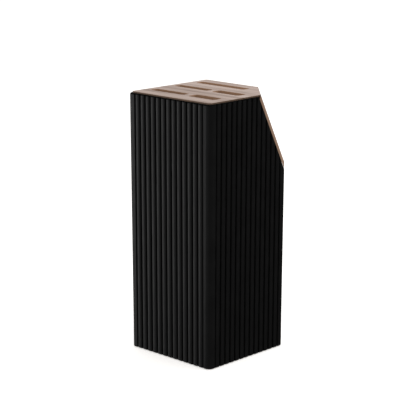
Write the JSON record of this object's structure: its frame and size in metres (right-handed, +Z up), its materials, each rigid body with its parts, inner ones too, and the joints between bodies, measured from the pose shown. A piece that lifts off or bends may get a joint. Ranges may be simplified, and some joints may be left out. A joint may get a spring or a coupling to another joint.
{
  "type": "knife block",
  "caption": "Upright square knife block with a ribbed shell, one sloping top corner, and a lift-out slotted wooden top that carries blade sleeves.",
  "frame": {"origin": "middle of the footprint, on the surface that the feet stand on", "axes": "+Z up; the knife slots run along X; the sloping cut takes the corner at +X, +Y"},
  "size_m": [0.1022, 0.1022, 0.2412],
  "materials": {
    "shell_black": "matt black moulded plastic with a very fine even texture",
    "inner_black": "plain dark moulded plastic",
    "sleeve_black": "smooth dark grey moulded plastic",
    "top_wood": "pale oiled hardwood, fine straight grain along the slots",
    "corner_wood": "oiled hardwood, grain running up the slope",
    "screw_steel": "zinc-plated steel",
    "foot_rubber": "matt black rubber",
    "mat_grey": "dark grey silicone, fine ribbed top"
  },
  "bodies": {
    "shell": {"ribbed_shell": "shell_black", "base_plate": "inner_black", "base_screws": "screw_steel", "tip_mat": "mat_grey", "foot_front_left": "foot_rubber", "foot_front_right": "foot_rubber", "foot_rear_left": "foot_rubber", "foot_rear_right": "foot_rubber"},
    "insert": {"top_board": "top_wood", "corner_board": "corner_wood", "carrier_frame": "inner_black", "lower_guide": "inner_black", "sleeve_bread": "sleeve_black", "sleeve_carving": "sleeve_black", "sleeve_chef": "sleeve_black", "sleeve_utility": "sleeve_black", "sleeve_paring": "sleeve_black", "post_front_left": "inner_black", "post_front_right": "inner_black", "post_rear_left": "inner_black", "post_rear_right": "inner_black", "post_top_screws": "screw_steel", "post_bottom_screws": "screw_steel", "board_screws": "screw_steel", "corner_screws": "screw_steel"}
  },
  "joints": [
    {"name": "insert_lift", "type": "slide", "parent": "shell", "child": "insert", "axis": [0, 0, 1], "range_m": [0, 0.225]}
  ]
}
